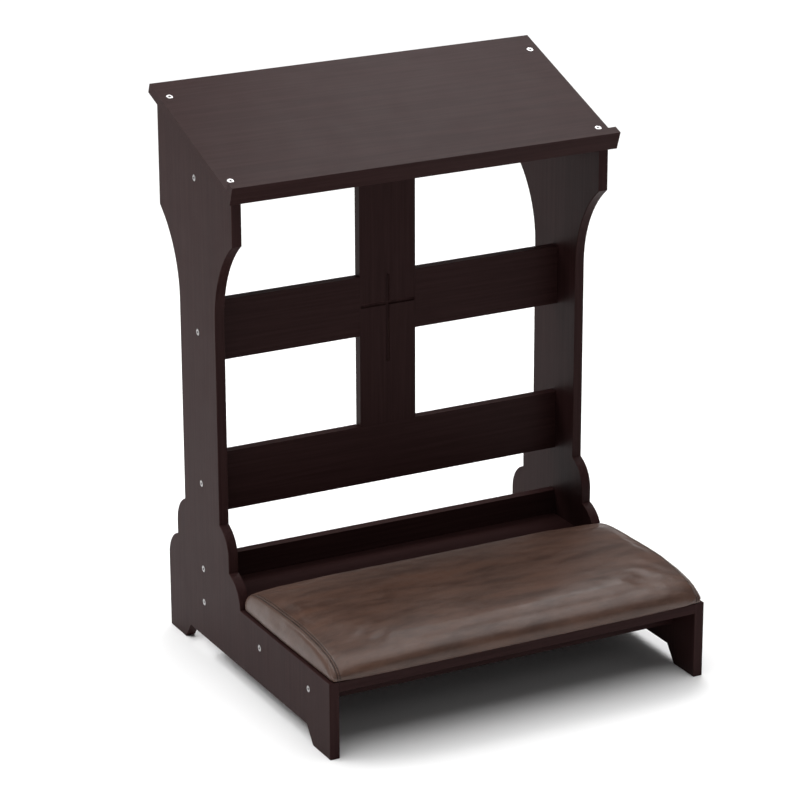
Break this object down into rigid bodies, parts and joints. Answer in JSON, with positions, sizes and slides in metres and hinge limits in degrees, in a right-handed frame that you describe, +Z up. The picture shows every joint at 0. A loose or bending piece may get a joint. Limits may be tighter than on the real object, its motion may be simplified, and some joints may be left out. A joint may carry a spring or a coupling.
{
  "type": "prayer kneeler with book desk",
  "caption": "Free-standing wooden prayer kneeler: shaped side boards, a sloped book desk with a ledge, cross rails and a padded kneeler board.",
  "frame": {"origin": "on the floor, at the centre of the footprint of the whole object's bounding box", "axes": "+X is the kneeling person's right, +Y points from that person towards the back of the desk, +Z is up"},
  "size_m": [0.615, 0.5534, 0.83],
  "materials": {
    "painted_board": "very dark brown satin lacquer over fine-grained furniture board",
    "leather": "mottled brown leather, semi-gloss, fine grain",
    "foam": "open-cell upholstery foam",
    "plywood": "raw plywood",
    "screw_steel": "bright nickel-plated steel",
    "zinc_steel": "zinc-plated steel",
    "dowel_wood": "raw beech"
  },
  "bodies": {
    "root": {"back_rail": "painted_board", "book_ledge": "painted_board", "center_splat": "painted_board", "cover_staples": "zinc_steel", "desk_screws": "screw_steel", "desk_top": "painted_board", "front_stretcher": "painted_board", "kneeler_board": "painted_board", "kneeler_board_screws": "zinc_steel", "ledge_dowels": "dowel_wood", "left_panel_screws": "screw_steel", "left_side_panel": "painted_board", "lower_rail": "painted_board", "middle_stretcher": "painted_board", "pad_base_board": "plywood", "pad_cover": "leather", "pad_end_left": "leather", "pad_end_right": "leather", "pad_foam": "foam", "pad_screws": "zinc_steel", "rail_dowels": "dowel_wood", "rear_stretcher": "painted_board", "right_panel_screws": "screw_steel", "right_side_panel": "painted_board", "splat_dowels": "dowel_wood", "top_rail": "painted_board", "upper_rail": "painted_board"}
  },
  "joints": []
}
